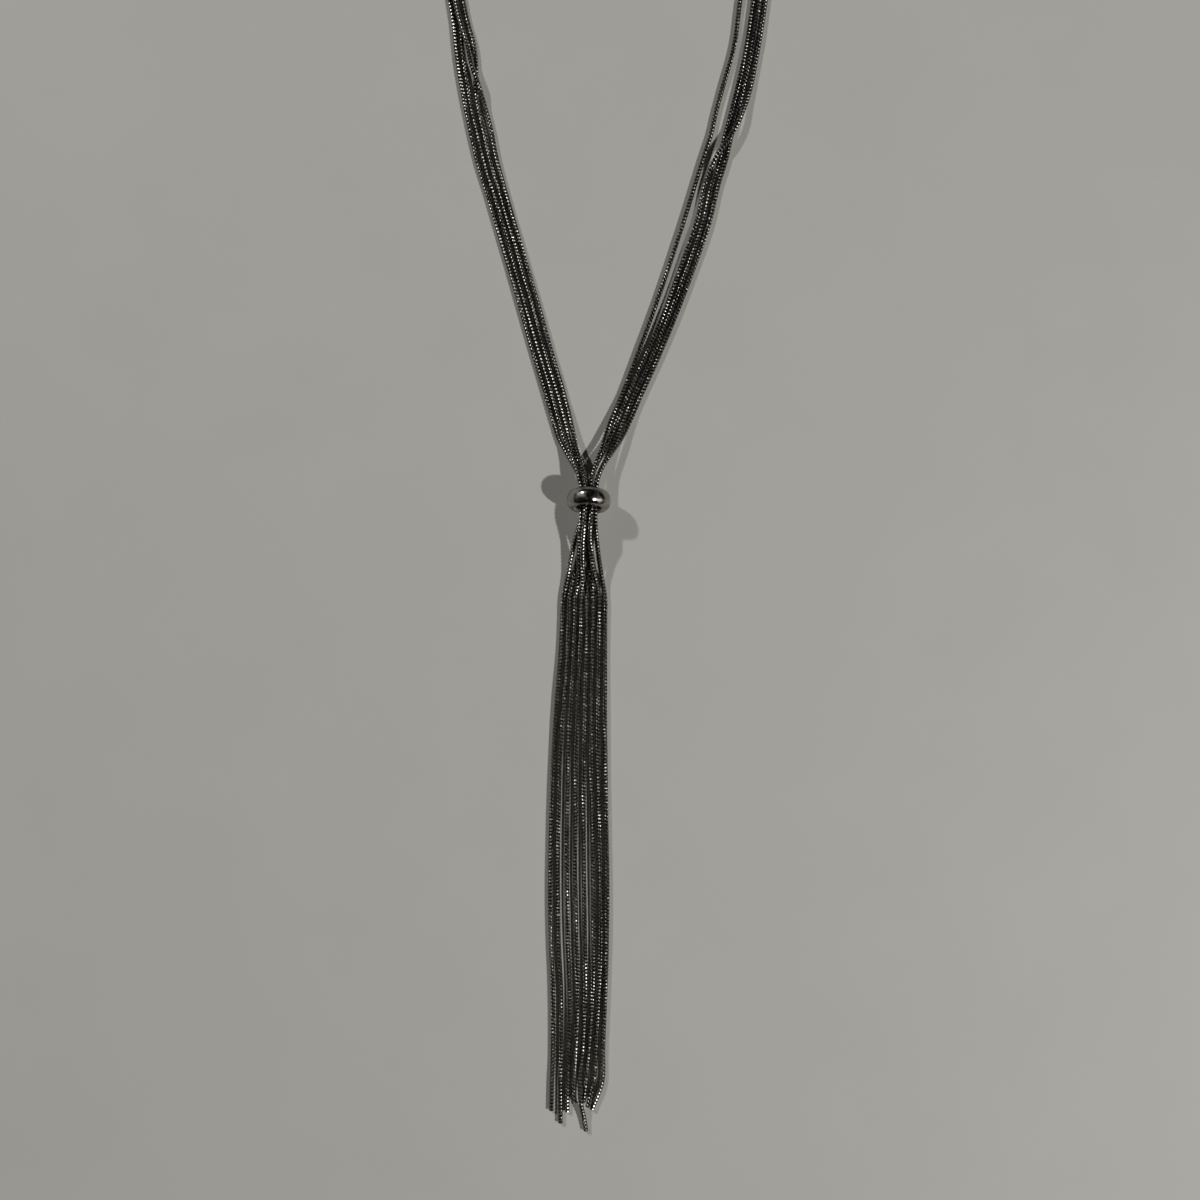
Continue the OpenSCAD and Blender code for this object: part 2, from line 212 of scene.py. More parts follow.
# A link from its groove to the next: share of the pitch, share of the groove's depth under the
# outside, how far it is groove, and whether it is a crisp edge. How far it is groove also sets how
# much of the near-black groove colour, partly tarnish and partly painted shade, is mixed in. Its
# ridge is nearer the free end, and the long facet behind it looks towards the clasp.
LINK_PROFILE = [
    (0, 1, 1, False), (0.14, 0.8, 0.8, False), (0.25, 0.22, 0, True), (0.39, 0, 0, True),
    (0.72, 0.36, 0, True), (0.86, 0.8, 0.8, False), (1, 1, 1, False)]
LINK_RIDGE = 0.39
# The most that a link leans, in times its play
LEAN_LIMIT = 2
# Links beyond those of the strand's length: in the row, whose ends are then cut off, and in the
# random draws
ROW_SPARE = 2
DRAW_SPARE = 4
# How near two things lie to count as one, in shares of a link: corners of neighbouring links, a
# corner and its link's start or ridge, a corner and a cut, and an edge and the cut around it
NEAR_CORNER = 0.02
NEAR_START = 0.01
NEAR_RIDGE = 0.05
NEAR_CUT = 0.001
NEAR_RIM = 0.1

# How near two corners of a turned shape lie to be merged, in millimetres
MERGE_NEAR = 0.001

# Widths and depths of the patterns in the finishes, in millimetres. The tool leaves a ring around
# the clasp every 0.1 mm, too fine to show in the render, so the rings are drawn coarser.
WIPE_WIDTH = 1.3
WAVE_WIDTH = 2.6
WAVE_DEPTH = 0.4
RINGS_WIDTH = 0.3
RINGS_DEPTH = 0.015
MOTTLE_WIDTH = 25
# Stretch of the noise in which polish turns from clear to hazy, and of the ring bead's way in
# over which the metal turns from polished to unpolished and rough, and darkens with painted shade
HAZE_FROM, HAZE_TO = 0.38, 0.62
DULL_SHADE_FROM, DULL_SHADE_TO = 0.35, 0.8
# Roughness of the finishes, from their clearest places to their dullest
CHAIN_CLEAR, CHAIN_DULL = 0.275, 0.3
BEAD_CLEAR, BEAD_DULL = 0.12, 0.36
CLASP_CLEAR, CLASP_DULL = 0.18, 0.3
FLOOR_ROUGHNESS = 0.6

# Sockets of a Mix node that mixes two colours
MIX_FACTOR = 0
MIX_FIRST = 6
MIX_SECOND = 7
MIX_RESULT = 2

# Middle of the camera's view, in millimetres
VIEW_MIDDLE = (2.4, -21.4, 0)
# How far the floor reaches from the middle in metres, out of the lamps' light, and its parts to
# each side
FLOOR_REACH = 12
FLOOR_PARTS = 4
# Brightness of the floor's darkest mottle against its paint
MOTTLE_SHADE = 0.94
# How far the lamps are from the view's middle in metres, and each one's name, azimuth and
# elevation in degrees, width in metres and power in watts
LAMP_FAR = 1.5
LAMPS = [("key_light", -23, 46.5, 0.055, 11.7), ("fill_light", 137, 38.5, 0.07, 6.8)]
ROOM_STRENGTH = 0.006
# The camera's sensor in millimetres, and the nearest thing that it sees in metres
SENSOR_WIDTH = 36
CLIP_START = 0.01


def hex_colour(code):
    """Linear RGB of an sRGB hex code."""
    parts = [int(code[i:i + 2], 16) / 255 for i in (1, 3, 5)]
    return tuple(c / 12.92 if c <= 0.04045 else ((c + 0.055) / 1.055) ** 2.4 for c in parts)


class ChainSettings(bpy.types.PropertyGroup):
    """Sizes and finish of the snake chains"""

    diameter: bpy.props.FloatProperty(
        name="Diameter", description="Outside diameter of a chain", default=CHAIN_D * MM,
        unit="LENGTH", precision=5)
    pitch: bpy.props.FloatProperty(
        name="Link pitch", description="Length of chain that one link takes", default=LINK_PITCH * MM,
        unit="LENGTH", precision=5)
    groove: bpy.props.FloatProperty(
        name="Groove depth", description="Depth of the groove between two links",
        default=0.15 * MM, unit="LENGTH", precision=5)
    wave: bpy.props.FloatProperty(
        name="Wave", description="Height of a link's saddle-shaped edge to each side",
        default=0.16 * MM, unit="LENGTH", precision=5)
    sides: bpy.props.IntProperty(
        name="Sides", description="Corners around a link", default=16, min=10, max=16)
    facet: bpy.props.FloatProperty(
        name="Facet", description="How far a link is flattened on its four sides, as a share of its "
        "radius", default=0.035, min=0, max=0.06)
    turn_length: bpy.props.FloatProperty(
        name="Turn length", description="Length of chain over which its links turn once around",
        default=90 * MM, unit="LENGTH")
    play: bpy.props.FloatProperty(
        name="Play", description="How far a link commonly leans", default=math.radians(4.5),
        subtype="ANGLE")
    follow: bpy.props.FloatProperty(
        name="Follow", description="How far a link leans as the link before it does, from not at "
        "all to fully", default=0.93, min=0, max=1)
    stray: bpy.props.FloatProperty(
        name="Stray", description="How far a link also leans in its own way, as a share of the "
        "play", default=0.5, min=0, max=1)
    wear: bpy.props.FloatProperty(
        name="Wear", description="How far the ridge of a link may be worn down, as a share of its "
        "radius", default=0.015, min=0, max=0.03)
    colour: bpy.props.FloatVectorProperty(
        name="Plating", description="Colour of the plated links", subtype="COLOR",
        default=hex_colour("#96928c"))
    # Near-black groove colour: partly real tarnish, partly painted shade between the links
    tarnish_and_shade: bpy.props.FloatVectorProperty(
        name="Tarnish", description="Colour in the grooves between the links", subtype="COLOR",
        default=hex_colour("#0e0d0b"))


class BeadSettings(bpy.types.PropertyGroup):
    """Sizes and finish of the ring bead and the clasp"""

    steps: bpy.props.IntProperty(
        name="Steps", description="Steps around the ring bead", default=144, min=32)
    section: bpy.props.IntProperty(
        name="Section", description="Corners of the ring bead's oval section", default=48, min=16)
    colour: bpy.props.FloatVectorProperty(
        name="Polished metal", description="Colour of the polished metal", subtype="COLOR",
        default=hex_colour("#9c9892"))
    # Near-black bore colour: painted shade in the ring bead's hole, where the metal is also
    # unpolished
    tarnish_and_shade: bpy.props.FloatVectorProperty(
        name="Bore", description="Colour of the unpolished metal deep in the ring bead's hole",
        subtype="COLOR", default=hex_colour("#1a1815"))


class StageSettings(bpy.types.PropertyGroup):
    """Camera, floor and light"""

    view_width: bpy.props.FloatProperty(
        name="View width", description="Width of the floor that the camera sees",
        default=261.6 * MM, unit="LENGTH")
    camera_height: bpy.props.FloatProperty(
        name="Camera height", description="Height of the camera above the floor",
        default=350 * MM, unit="LENGTH")
    floor_colour: bpy.props.FloatVectorProperty(
        name="Floor", description="Colour of the pale floor", subtype="COLOR",
        default=hex_colour("#cdccc5"))


def section_point(x, y, heading, across, height):
    """Point of a bundle's cross section: its middle, heading, place across and height."""
    turn = math.radians(heading)
    return Vector((x + across * math.cos(turn), y + across * math.sin(turn), height))


def ring_height():
    """Height of the middle of the leaning ring bead, which touches the surface."""
    lean = math.radians(RING_LEAN)
    return RING_MID_R * math.cos(lean) + math.hypot(
        RING_THICK / 2 * math.cos(lean), RING_W / 2 * math.sin(lean))


def hole_point(slot, deep):
    """Point of the leaning hole, at a depth towards the legs and a place in the hole."""
    lean = math.radians(RING_LEAN)
    y = deep * math.cos(lean) + slot[1] * math.sin(lean)
    z = ring_height() - deep * math.sin(lean) + slot[1] * math.cos(lean)
    return Matrix.Rotation(math.radians(RING_TURN), 3, "Z") @ Vector((slot[0], y, z))


def round_point(side, turn, across, height):
    """Point of the round end of the loop: turn is the heading away from the middle line."""
    angle = math.radians(turn)
    return section_point(
        LOOP_X + side * LOOP_R * math.cos(angle), LOOP_Y - LOOP_R * math.sin(angle),
        -side * turn, across, height)


def tassel_route(end):
    """Route of a chain down the tassel, from the ring bead to its free end."""
    rise = [Vector((xs[end], y, zs[end])) for y, xs, zs in TASSEL_RISE]
    flat = [Vector((xs[end], y, LOW)) for y, xs in TASSEL_FLAT]
    return rise + flat + [Vector(point) for point in TASSEL_ENDS[end]]


def loop_route(side, lane):
    """Route of a chain around the loop, from the end of its leg into the clasp."""
    loop = [round_point(side, turn, FLAT[lane], LOW) for turn in ROUND_TURNS]
    gather = [round_point(side, turn - 90, across[lane], LOW + heights[lane])
        for turn, across, heights in zip(GATHER_TURNS, GATHER_ACROSS, GATHER_HEIGHTS)]
    socket = [Vector((LOOP_X + side * (CLASP_LEN / 2 - deep), CLASP_Y + side * SOCKET_ACROSS[lane],
        CLASP_D / 2 + SOCKET_HEIGHTS[lane])) for deep in (0, SOCKET_DEEP - SOCKET_GAP)]
    return loop + gather + socket


def chain_route(leg, number):
    """Whole route of one chain in metres, from its free end to the clasp."""
    side, sections, slots, ends, lanes = LEGS[leg]
    hole = [hole_point(slots[number], deep) for deep in reversed(HOLE_STOPS)]
    way_up = [section_point(x, y, heading, across[number], heights[number])
        for x, y, heading, across, heights in sections]
    route = tassel_route(ends[number])[::-1] + hole + way_up + loop_route(side, lanes[number])
    return [point * MM for point in route]


def direction_at(points, i):
    """Unit direction of the smooth curve at a point, level where it turns or meets a level."""
    last = len(points) - 1
    before = points[max(i, 1)] - points[max(i, 1) - 1]
    after = points[min(i, last - 1) + 1] - points[min(i, last - 1)]
    mean = before * (after.length / before.length) + after * (before.length / after.length)
    if before.z * after.z <= 0:
        mean.z = 0
    return mean.normalized()


def route_curve(name, points):
    """Smooth curve along a route, as an object."""
    data = bpy.data.curves.new(name, "CURVE")
    data.dimensions = "3D"
    data.twist_mode = "Z_UP"
    data.resolution_u = CURVE_STEPS
    data.use_path = True
    spline = data.splines.new("BEZIER")
    last = len(points) - 1
    spline.bezier_points.add(last)
    for i, (spot, point) in enumerate(zip(spline.bezier_points, points)):
        along = direction_at(points, i)
        spot.handle_left_type = "FREE"
        spot.handle_right_type = "FREE"
        spot.co = point
        spot.handle_left = point - along * (point - points[max(i - 1, 0)]).length / 3
        spot.handle_right = point + along * (points[min(i + 1, last)] - point).length / 3
    curve = bpy.data.objects.new(name, data)
    bpy.context.scene.collection.objects.link(curve)
    return curve


def check_closed(name, shape):
    """Raises an error if a finished shape has an open edge."""
    if any(not edge.is_manifold for edge in shape.edges):
        raise RuntimeError(f"{name} has an open edge")


def mesh_object(name, shape):
    """Object of a finished bmesh, linked to the scene."""
    mesh = bpy.data.meshes.new(name)
    shape.to_mesh(mesh)
    shape.free()
    piece = bpy.data.objects.new(name, mesh)
    bpy.context.scene.collection.objects.link(piece)
    return piece


def apply_modifiers(piece):
    """Puts the piece's modifiers into its mesh."""
    bpy.context.view_layer.update()
    graph = bpy.context.evaluated_depsgraph_get()
    made = bpy.data.meshes.new_from_object(piece.evaluated_get(graph))
    old = piece.data
    piece.modifiers.clear()
    piece.data = made
    made.name = piece.name
    bpy.data.meshes.remove(old)


def link_band(chain, step):
    """One link as an open tube along X, from the groove before it to the groove after it. It is
    a little slimmer than the chain, as its ridge moves out when it leans."""
    band = bmesh.new()
    # The groove share marks where the near-black groove colour, partly tarnish and partly painted
    # shade, goes
    groove = band.verts.layers.float.new("groove")
    proud = (0.5 - LINK_RIDGE) * step * math.tan(LEAN_LIMIT * chain.play)
    outside = chain.diameter / 2 - proud
    radii = [outside - chain.groove * deep for _, deep, _, _ in LINK_PROFILE]
    bmesh.ops.create_circle(band, segments=chain.sides, radius=radii[0])
    bmesh.ops.rotate(band, verts=band.verts, matrix=Matrix.Rotation(math.pi / 2, 3, "Y"))
    ring = band.verts[:]
    for vert in ring:
        vert[groove] = LINK_PROFILE[0][2]
    for i in range(1, len(LINK_PROFILE)):
        edges = [edge for edge in band.edges if all(vert in ring for vert in edge.verts)]
        made = bmesh.ops.extrude_edge_only(band, edges=edges)["geom"]
        ring = [part for part in made if isinstance(part, bmesh.types.BMVert)]
        grow = radii[i] / radii[i - 1]
        bmesh.ops.scale(band, verts=ring, vec=(1, grow, grow))
        run = (LINK_PROFILE[i][0] - LINK_PROFILE[i - 1][0]) * step
        bmesh.ops.translate(band, verts=ring, vec=(run, 0, 0))
        for vert in ring:
            vert[groove] = LINK_PROFILE[i][2]
        for edge in band.edges:
            if LINK_PROFILE[i][3] and all(vert in ring for vert in edge.verts):
                edge.smooth = False
    for vert in band.verts:
        vert.co.x += saddle(chain, vert)
        flat = 1 - chain.facet * (1 + math.cos(4 * math.atan2(vert.co.z, vert.co.y)))
        vert.co.yz *= flat
    return band


def saddle(chain, vert):
    """How far a link's saddle shape moves one of its corners along the chain."""
    return chain.wave * math.cos(2 * math.atan2(vert.co.z, vert.co.y))


def lean_angles(chain, count, rng):
    """Random angles by which the links of a row lean: each much as the one before it, and a
    little in its own way."""
    shared = rng.gauss(0, 1)
    angles = []
    for _ in range(count):
        shared = chain.follow * shared + math.sqrt(1 - chain.follow ** 2) * rng.gauss(0, 1)
        lean = shared + chain.stray * rng.gauss(0, 1)
        angles.append(chain.play * min(max(lean, -LEAN_LIMIT), LEAN_LIMIT))
    return angles


def lean_links(chain, strand, step, count, rng):
    """Gives each link of the straight strand its shade, its wear and its lean."""
    groove = strand.verts.layers.float["groove"]
    shade = strand.verts.layers.float.new("shade")
    links = count + DRAW_SPARE
    tone = [rng.random() for _ in range(links)]
    lifts = lean_angles(chain, links, rng)
    swings = lean_angles(chain, links, rng)
    lean = [Matrix.Rotation(lift, 3, "Y") @ Matrix.Rotation(swing, 3, "Z")
        for lift, swing in zip(lifts, swings)]
    for vert in strand.verts:
        place = (vert.co.x - saddle(chain, vert)) / step + 1
        link = min(max(int(place + NEAR_START), 0), links - 1)
        vert[shade] = tone[link]
        if abs(place - link - LINK_RIDGE) < NEAR_RIDGE:
            vert.co.yz *= 1 - chain.wear * tone[link] ** 2
        if vert[groove] < 1:
            middle = Vector(((link - 0.5) * step, 0, 0))
            vert.co = middle + lean[link] @ (vert.co - middle)


def cut_end(strand, end, facing, step):
    """Cuts the straight strand off square at one end, and closes it."""
    bmesh.ops.bisect_plane(
        strand, geom=strand.verts[:] + strand.edges[:] + strand.faces[:], dist=NEAR_CUT * step,
        plane_co=(end, 0, 0), plane_no=(facing, 0, 0), clear_outer=True)
    rim = [edge for edge in strand.edges if edge.is_boundary
        and abs(edge.verts[0].co.x - end) < NEAR_RIM * step]
    for face in bmesh.ops.holes_fill(strand, edges=rim, sides=0)["faces"]:
        for edge in face.edges:
            edge.smooth = False


def finish_strand(chain, piece, length, count, rng):
    """Leans the links of the straight strand, cuts it to length, and turns it along its way."""
    step = length / count
    strand = bmesh.new()
    strand.from_mesh(piece.data)
    lean_links(chain, strand, step, count, rng)
    cut_end(strand, 0, -1, step)
    cut_end(strand, length, 1, step)
    start = rng.uniform(0, 2 * math.pi)
    for vert in strand.verts:
        turn = Matrix.Rotation(start + 2 * math.pi * vert.co.x / chain.turn_length, 3, "X")
        vert.co = turn @ vert.co
    bmesh.ops.recalc_face_normals(strand, faces=strand.faces)
    for face in strand.faces:
        face.smooth = True
    check_closed(piece.name, strand)
    strand.to_mesh(piece.data)
    strand.free()


def make_chain(chain, leg, number):
    """Makes one snake chain as a straight row of links, and bends it along its route."""
    name = f"chain_{leg}_{number + 1}"
    curve = route_curve(name + "_route", chain_route(leg, number))
    length = curve.data.splines[0].calc_length()
    count = round(length / chain.pitch)
    step = length / count
    rng = random.Random(name)
    piece = mesh_object(name + "_links", link_band(chain, step))
    piece.data.transform(Matrix.Translation((-step, 0, 0)))
    row = piece.modifiers.new("links", "ARRAY")
    row.count = count + ROW_SPARE
    row.use_relative_offset = False
    row.use_constant_offset = True
    row.constant_offset_displace = (step, 0, 0)
    row.use_merge_vertices = True
    row.merge_threshold = NEAR_CORNER * step
    apply_modifiers(piece)
    finish_strand(chain, piece, length, count, rng)
    bend = piece.modifiers.new("route", "CURVE")
    bend.object = curve
    bend.deform_axis = "POS_X"
    apply_modifiers(piece)
    data = curve.data
    bpy.data.objects.remove(curve)
    bpy.data.curves.remove(data)
    piece.data.materials.clear()
    piece.data.materials.append(snake_chain_plating(chain))
    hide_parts(name)
    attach(piece, BODY)


def add_node(tree, kind, values=None, links=None, **settings):
    """Adds a node, with its settings, the values of its inputs and the links into them."""
    node = tree.nodes.new(kind)
    for key, value in settings.items():
        setattr(node, key, value)
    for key, value in (values or {}).items():
        node.inputs[key].default_value = value
    for key, source in (links or {}).items():
        tree.links.new(source, node.inputs[key])
    return node


def new_material(name):
    """Empty material and its node tree."""
    material = bpy.data.materials.new(name)
    material.use_nodes = True
    material.node_tree.nodes.clear()
    return material, material.node_tree


def snake_chain_plating(chain):
    """Plated brass links, stamped and rolled into a round chain. Their satin facets glint one by
    one as dots along the chain, and the grooves between them are coloured nearly black: partly
    real tarnish, partly painted shade."""
    name = "bright_plated_snake_chain"
    if name in bpy.data.materials:
        return bpy.data.materials[name]
    material, tree = new_material(name)
    groove = add_node(tree, "ShaderNodeAttribute", attribute_name="groove")
    shade = add_node(tree, "ShaderNodeAttribute", attribute_name="shade")
    # The groove mask mixes in the near-black groove colour: partly tarnish, partly painted shade
    # between the links
    base = add_node(
        tree, "ShaderNodeMix", data_type="RGBA",
        values={MIX_FIRST: (*chain.colour, 1), MIX_SECOND: (*chain.tarnish_and_shade, 1)},
        links={MIX_FACTOR: groove.outputs["Fac"]})
    rough = add_node(
        tree, "ShaderNodeMapRange", values={"To Min": CHAIN_CLEAR, "To Max": CHAIN_DULL},
        links={"Value": shade.outputs["Fac"]})
    shader = add_node(
        tree, "ShaderNodeBsdfPrincipled", values={"Metallic": 1},
        links={"Base Color": base.outputs[MIX_RESULT], "Roughness": rough.outputs["Result"]})
    add_node(tree, "ShaderNodeOutputMaterial", links={"Surface": shader.outputs["BSDF"]})
    return material


def polished_plating(bead):
    """Plated brass, cast and then polished on the outside. Its slight waves pull the glints out of
    round, the hazy patches that wiping and handling leave spread them between the clear ones, and
    the unpolished bore is rougher, and coloured near-black as painted shade in the hole."""
    material, tree = new_material("mirror_polished_plating")
    place = add_node(tree, "ShaderNodeTexCoord")
    wipes = add_node(
        tree, "ShaderNodeTexNoise", values={"Scale": 1 / (WIPE_WIDTH * MM), "Detail": 3},
        links={"Vector": place.outputs["Object"]})
    bore = add_node(tree, "ShaderNodeAttribute", attribute_name="bore")
    # The bore mask makes the unpolished metal rougher, and mixes in its near-black colour as painted
    # shade in the hole
    dull_and_shade = add_node(
        tree, "ShaderNodeMapRange", values={"From Min": DULL_SHADE_FROM, "From Max": DULL_SHADE_TO},
        links={"Value": bore.outputs["Fac"]})
    base = add_node(
        tree, "ShaderNodeMix", data_type="RGBA",
        values={MIX_FIRST: (*bead.colour, 1), MIX_SECOND: (*bead.tarnish_and_shade, 1)},
        links={MIX_FACTOR: dull_and_shade.outputs["Result"]})
    polish = add_node(
        tree, "ShaderNodeMapRange",
        values={"From Min": HAZE_FROM, "From Max": HAZE_TO, "To Min": BEAD_CLEAR,
            "To Max": BEAD_DULL},
        links={"Value": wipes.outputs["Fac"]})
    rough = add_node(
        tree, "ShaderNodeMath", operation="MAXIMUM",
        links={0: polish.outputs["Result"], 1: dull_and_shade.outputs["Result"]})
    waves = add_node(
        tree, "ShaderNodeTexNoise", values={"Scale": 1 / (WAVE_WIDTH * MM), "Detail": 0},
        links={"Vector": place.outputs["Object"]})
    bump = add_node(
        tree, "ShaderNodeBump", values={"Strength": 1, "Distance": WAVE_DEPTH * MM},
        links={"Height": waves.outputs["Fac"]})
    shader = add_node(
        tree, "ShaderNodeBsdfPrincipled", values={"Metallic": 1},
        links={"Base Color": base.outputs[MIX_RESULT], "Roughness": rough.outputs["Value"],
            "Normal": bump.outputs["Normal"]})
    add_node(tree, "ShaderNodeOutputMaterial", links={"Surface": shader.outputs["BSDF"]})
    return material


def turned_plating(bead):
    """Plated brass, turned on a lathe and then buffed. The fine rings that the tool leaves around
    the barrel draw its glints out along it."""
    material, tree = new_material("buffed_turned_plating")
    place = add_node(tree, "ShaderNodeTexCoord")
    along = add_node(
        tree, "ShaderNodeSeparateXYZ", links={"Vector": place.outputs["Object"]})
    rings = add_node(
        tree, "ShaderNodeTexNoise", noise_dimensions="1D",
        values={"Scale": 1 / (RINGS_WIDTH * MM), "Detail": 2}, links={"W": along.outputs["X"]})
    rough = add_node(
        tree, "ShaderNodeMapRange", values={"To Min": CLASP_CLEAR, "To Max": CLASP_DULL},
        links={"Value": rings.outputs["Fac"]})
    bump = add_node(
        tree, "ShaderNodeBump", values={"Strength": 1, "Distance": RINGS_DEPTH * MM},
        links={"Height": rings.outputs["Fac"]})
    shader = add_node(
        tree, "ShaderNodeBsdfPrincipled",
        values={"Base Color": (*bead.colour, 1), "Metallic": 1},
        links={"Roughness": rough.outputs["Result"], "Normal": bump.outputs["Normal"]})
    add_node(tree, "ShaderNodeOutputMaterial", links={"Surface": shader.outputs["BSDF"]})
    return material


def painted_floor(stage):
    """Matt emulsion paint, rolled on, whose hardly visible mottle keeps the floor from looking
    flat."""
    material, tree = new_material("pale_matt_paint")
    place = add_node(tree, "ShaderNodeTexCoord")
    mottle = add_node(
        tree, "ShaderNodeTexNoise", values={"Scale": 1 / (MOTTLE_WIDTH * MM), "Detail": 4},
        links={"Vector": place.outputs["Object"]})
    darker = tuple(MOTTLE_SHADE * part for part in stage.floor_colour)
    base = add_node(
        tree, "ShaderNodeMix", data_type="RGBA",
        values={MIX_FIRST: (*darker, 1), MIX_SECOND: (*stage.floor_colour, 1)},
        links={MIX_FACTOR: mottle.outputs["Fac"]})
    shader = add_node(
        tree, "ShaderNodeBsdfPrincipled", values={"Roughness": FLOOR_ROUGHNESS},
        links={"Base Color": base.outputs[MIX_RESULT]})
    add_node(tree, "ShaderNodeOutputMaterial", links={"Surface": shader.outputs["BSDF"]})
    return material


class NECKLACE_OT_left_chains(bpy.types.Operator):
    """Make the four snake chains of the left leg"""

    bl_idname = "necklace.left_chains"
    bl_label = "Left Chains"

    def execute(self, context):
        for number in range(CHAINS_PER_LEG):
            make_chain(context.scene.necklace_chain, "left", number)
        return {"FINISHED"}


class NECKLACE_OT_right_chains(bpy.types.Operator):
    """Make the four snake chains of the right leg"""

    bl_idname = "necklace.right_chains"
    bl_label = "Right Chains"

    def execute(self, context):
        for number in range(CHAINS_PER_LEG):
            make_chain(context.scene.necklace_chain, "right", number)
        return {"FINISHED"}


class NECKLACE_OT_ring_bead(bpy.types.Operator):
    """Make the polished ring bead that the chains run through"""

    bl_idname = "necklace.ring_bead"
    bl_label = "Ring Bead"

    def execute(self, context):
        bead = context.scene.necklace_bead
        ring = bmesh.new()
        bmesh.ops.create_circle(ring, segments=bead.section, radius=1)
        bmesh.ops.scale(ring, verts=ring.verts, vec=(RING_THICK / 2 * MM, RING_W / 2 * MM, 1))
        bmesh.ops.translate(ring, verts=ring.verts, vec=(RING_MID_R * MM, 0, 0))
        bmesh.ops.spin(
            ring, geom=ring.verts[:] + ring.edges[:], cent=(0, 0, 0), axis=(0, 1, 0),
            angle=2 * math.pi, steps=bead.steps, use_merge=True)
        bmesh.ops.remove_doubles(ring, verts=ring.verts, dist=MERGE_NEAR * MM)
        bmesh.ops.recalc_face_normals(ring, faces=ring.faces)
        # How deep a corner lies in the hole, for the rougher unpolished metal and the painted shade
        # of the bore
        bore = ring.verts.layers.float.new("bore")
        for vert in ring.verts:
            deep = RING_MID_R * MM - math.hypot(vert.co.x, vert.co.z)
            vert[bore] = max(deep / (RING_THICK / 2 * MM), 0)
        for face in ring.faces:
            face.smooth = True
        lean = Matrix.Rotation(math.radians(-RING_LEAN), 3, "X")
        turn = Matrix.Rotation(math.radians(RING_TURN), 3, "Z")
        bmesh.ops.rotate(ring, verts=ring.verts, matrix=turn @ lean)
        bmesh.ops.translate(ring, verts=ring.verts, vec=(0, 0, ring_height() * MM))
        check_closed("Ring bead", ring)
        piece = mesh_object("polished_ring_bead", ring)
        piece.data.materials.append(polished_plating(bead))
        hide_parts("ring_bead")
        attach(piece, BODY)
        return {"FINISHED"}


class NECKLACE_OT_clasp(bpy.types.Operator):
    """Make the plain barrel clasp at the back of the loop"""

    bl_idname = "necklace.clasp"
    bl_label = "Barrel Clasp"

    def execute(self, context):
        bead = context.scene.necklace_bead
        end = CLASP_LEN / 2
        bottom = end - SOCKET_DEEP
        half = [
            (bottom, 0), (bottom, SOCKET_D / 2), (end, SOCKET_D / 2),
            (end, CLASP_D / 2 - CLASP_EDGE), (end - CLASP_EDGE, CLASP_D / 2),
            (CLASP_SEAM, CLASP_D / 2)]
        barrel = bmesh.new()
        middle = [(0, CLASP_D / 2 - CLASP_SEAM)]
        profile = half + middle + [(-x, r) for x, r in reversed(half)]
        corners = [barrel.verts.new((x * MM, r * MM, 0)) for x, r in profile]
        for a, b in zip(corners, corners[1:]):
            barrel.edges.new((a, b))
        bmesh.ops.spin(
            barrel, geom=barrel.verts[:] + barrel.edges[:], cent=(0, 0, 0), axis=(1, 0, 0),
            angle=2 * math.pi, steps=CLASP_STEPS, use_merge=True)
        bmesh.ops.remove_doubles(barrel, verts=barrel.verts, dist=MERGE_NEAR * MM)
        bmesh.ops.recalc_face_normals(barrel, faces=barrel.faces)
        for face in barrel.faces:
            face.smooth = True
        for edge in barrel.edges:
            edge.smooth = edge.calc_face_angle(0) < math.radians(CLASP_CRISP)
        bmesh.ops.translate(
            barrel, verts=barrel.verts, vec=(LOOP_X * MM, CLASP_Y * MM, CLASP_D / 2 * MM))
        check_closed("Clasp", barrel)
        piece = mesh_object("plain_barrel_clasp", barrel)
        piece.data.materials.append(turned_plating(bead))
        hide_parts("barrel_clasp")
        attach(piece, BODY)
        return {"FINISHED"}


class NECKLACE_OT_stage(bpy.types.Operator):
    """Make the pale floor, the studio light and the camera"""

    bl_idname = "necklace.stage"
    bl_label = "Stage"

    def execute(self, context):
        stage = context.scene.necklace_stage
        floor = bmesh.new()
        bmesh.ops.create_grid(
            floor, x_segments=FLOOR_PARTS, y_segments=FLOOR_PARTS, size=FLOOR_REACH)
        piece = mesh_object("floor", floor)
        piece.data.materials.append(painted_floor(stage))
        middle = Vector(VIEW_MIDDLE) * MM
        for name, azimuth, elevation, width, power in LAMPS:
            add_lamp(name, middle, azimuth, elevation, width, power)
        add_room(context.scene)
        add_camera(context.scene, stage, middle)
        context.scene.view_settings.view_transform = "Standard"
        return {"FINISHED"}


def add_lamp(name, target, azimuth, elevation, width, power):
    """Round lamp that shines at a point of the floor from a direction in degrees."""
    data = bpy.data.lights.new(name, "AREA")
    data.shape = "DISK"
    data.size = width
    data.energy = power
    lamp = bpy.data.objects.new(name, data)
    turn, tilt = math.radians(azimuth), math.radians(elevation)
    towards = Vector((math.cos(tilt) * math.cos(turn), math.cos(tilt) * math.sin(turn),
        math.sin(tilt)))
    lamp.location = target + towards * LAMP_FAR
    lamp.rotation_euler = towards.to_track_quat("Z", "Y").to_euler()
    bpy.context.scene.collection.objects.link(lamp)


def add_room(scene):
    """Dim even room around the floor, which the metal mirrors as nearly black."""
    world = bpy.data.worlds.new("dim_room")
    world.use_nodes = True
    tree = world.node_tree
    tree.nodes.clear()
    room = add_node(
        tree, "ShaderNodeBackground",
        values={"Color": (*hex_colour("#fffaf0"), 1), "Strength": ROOM_STRENGTH})
    add_node(tree, "ShaderNodeOutputWorld", links={"Surface": room.outputs["Background"]})
    scene.world = world


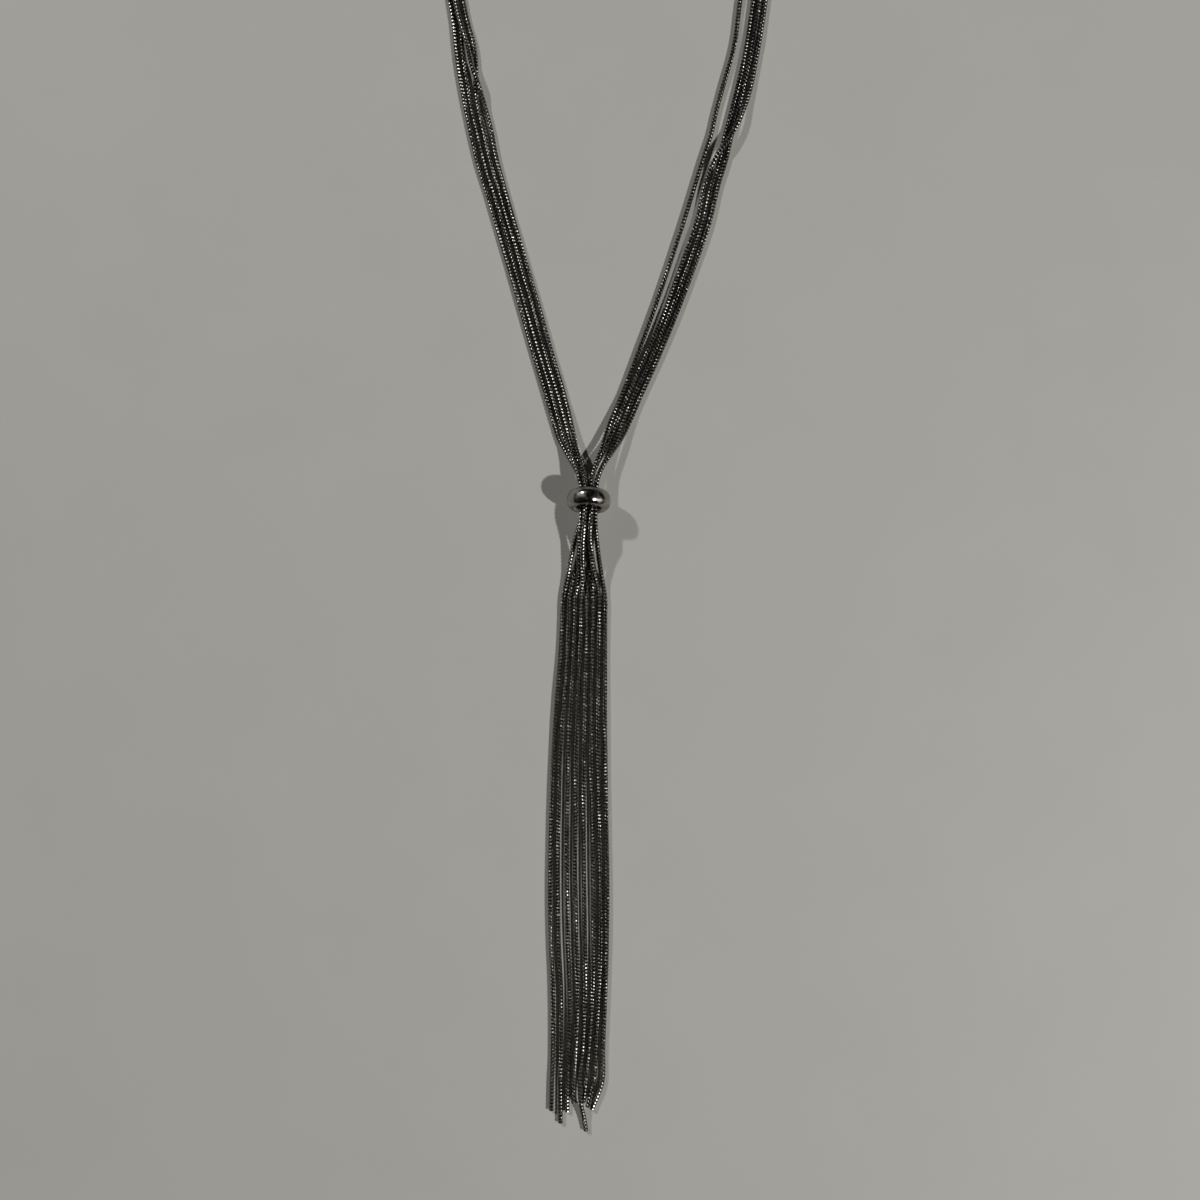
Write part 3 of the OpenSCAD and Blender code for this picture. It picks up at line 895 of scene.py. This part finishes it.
def add_camera(scene, stage, middle):
    """Camera straight above the necklace, with the loop upwards in the picture."""
    data = bpy.data.cameras.new("camera")
    data.sensor_width = SENSOR_WIDTH
    data.lens = data.sensor_width * stage.camera_height / stage.view_width
    data.clip_start = CLIP_START
    camera = bpy.data.objects.new("camera", data)
    camera.location = middle + Vector((0, 0, stage.camera_height))
    scene.collection.objects.link(camera)
    scene.camera = camera


class NECKLACE_PT_panel(bpy.types.Panel):
    """Sizes, colours and makers of the necklace"""

    bl_label = "Lariat Necklace"
    bl_idname = "NECKLACE_PT_panel"
    bl_space_type = "VIEW_3D"
    bl_region_type = "UI"
    bl_category = "Necklace"

    def draw(self, context):
        for group in (context.scene.necklace_chain, context.scene.necklace_bead,
                context.scene.necklace_stage):
            for key in group.bl_rna.properties.keys():
                if key not in ("rna_type", "name"):
                    self.layout.prop(group, key)
        for maker in OPERATORS:
            self.layout.operator(maker.bl_idname)


GROUPS = (ChainSettings, BeadSettings, StageSettings)
OPERATORS = (
    NECKLACE_OT_stage, NECKLACE_OT_left_chains, NECKLACE_OT_right_chains, NECKLACE_OT_ring_bead,
    NECKLACE_OT_clasp)


def register():
    """Registers the classes and the scene's settings."""
    for item in GROUPS + OPERATORS + (NECKLACE_PT_panel,):
        bpy.utils.register_class(item)
    bpy.types.Scene.necklace_chain = bpy.props.PointerProperty(type=ChainSettings)
    bpy.types.Scene.necklace_bead = bpy.props.PointerProperty(type=BeadSettings)
    bpy.types.Scene.necklace_stage = bpy.props.PointerProperty(type=StageSettings)


def unregister():
    """Takes the settings and the classes away again."""
    del bpy.types.Scene.necklace_stage
    del bpy.types.Scene.necklace_bead
    del bpy.types.Scene.necklace_chain
    for item in reversed(GROUPS + OPERATORS + (NECKLACE_PT_panel,)):
        bpy.utils.unregister_class(item)


def main():
    """Builds the necklace and its stage."""
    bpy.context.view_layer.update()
    register()
    for maker in OPERATORS:
        group, name = maker.bl_idname.split(".")
        getattr(getattr(bpy.ops, group), name)()


if __name__ == "__main__":
    main()
